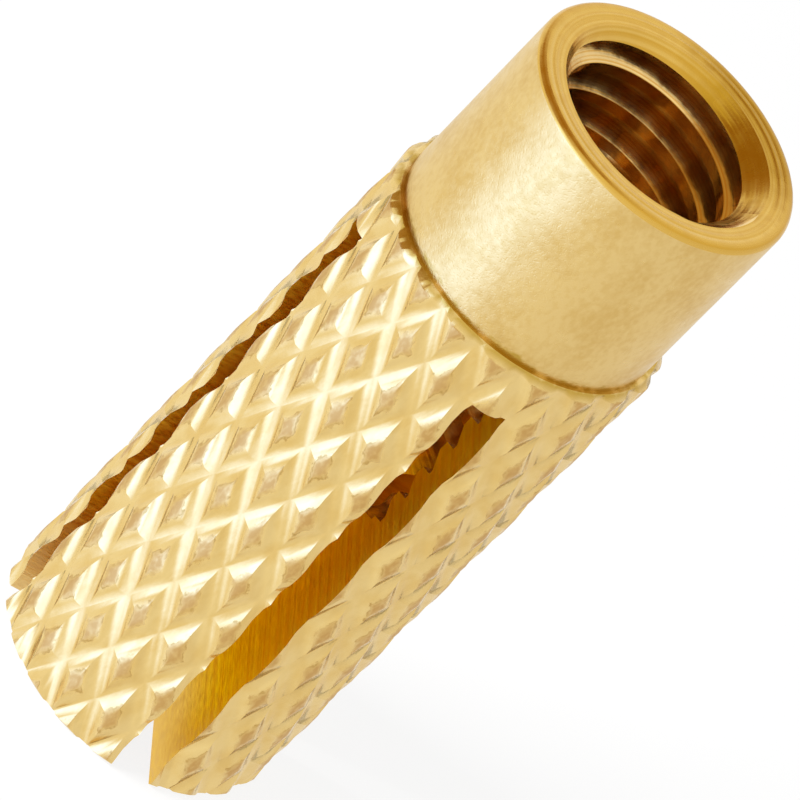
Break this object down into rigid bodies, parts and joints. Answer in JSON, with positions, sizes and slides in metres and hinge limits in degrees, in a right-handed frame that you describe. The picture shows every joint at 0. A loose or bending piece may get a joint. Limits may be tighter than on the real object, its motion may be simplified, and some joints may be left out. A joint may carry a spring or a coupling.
{
  "type": "drive anchor",
  "caption": "Knurled and slotted brass drive anchor: a short sleeve with an internal machine thread at its smooth mouth, split into spring legs at the other end.",
  "frame": {"origin": "centre of the sleeve's axis on the plane of its split end, which it stands on", "axes": "+Z along the sleeve's axis, from the split end to the threaded mouth; +X and +Y through the middles of two neighbouring saw cuts"},
  "size_m": [0.008, 0.008, 0.022],
  "materials": {
    "brass": "turned and knurled bare brass, satin on the collar, bright on the knurl"
  },
  "bodies": {
    "root": {"anchor_sleeve": "brass"}
  },
  "joints": []
}
